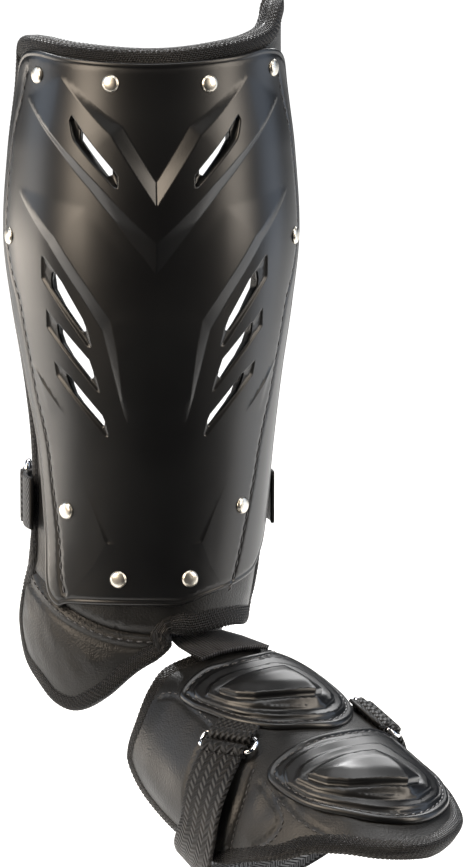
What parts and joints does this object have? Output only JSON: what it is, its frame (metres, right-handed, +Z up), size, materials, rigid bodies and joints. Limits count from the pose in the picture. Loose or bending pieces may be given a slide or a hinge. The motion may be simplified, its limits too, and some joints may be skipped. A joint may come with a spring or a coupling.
{
  "type": "batting leg guard",
  "caption": "Black batting leg guard: a slotted moulded shin shell riveted to a padded liner with an ankle wing, and a strapped foot guard with instep caps.",
  "frame": {"origin": "on the inner face of the shin liner, on its middle line, at the middle of the shell's height, where the wearer's shin bears", "axes": "+Z up along the shin, the shell faces -Y, +X to the side on which the foot guard turns out"},
  "size_m": [0.2138, 0.2381, 0.4327],
  "materials": {
    "shell": "satin gloss moulded black",
    "leather": "fine grained black synthetic leather",
    "binding": "ribbed twill tape",
    "webbing": "woven webbing",
    "elastic": "woven elastic",
    "nickel": "bright nickel plate"
  },
  "bodies": {
    "root": {"shin_shell": "shell", "shin_rivet_01": "nickel", "shin_rivet_02": "nickel", "shin_rivet_03": "nickel", "shin_rivet_04": "nickel", "shin_rivet_05": "nickel", "shin_rivet_06": "nickel", "shin_rivet_07": "nickel", "shin_rivet_08": "nickel", "shin_rivet_09": "nickel", "shin_rivet_10": "nickel", "shin_pad": "leather", "ankle_pad": "leather", "shin_binding": "binding", "foot_pad": "leather", "foot_binding": "binding", "instep_cap_upper": "shell", "instep_cap_lower": "shell", "ankle_tongue": "elastic", "calf_left_tab": "webbing", "calf_right_tab": "webbing", "calf_left_ring": "nickel", "calf_right_ring": "nickel", "calf_strap": "elastic", "sole_left_tab": "webbing", "sole_right_tab": "webbing", "sole_left_ring": "nickel", "sole_right_ring": "nickel", "sole_strap": "elastic"}
  },
  "joints": []
}
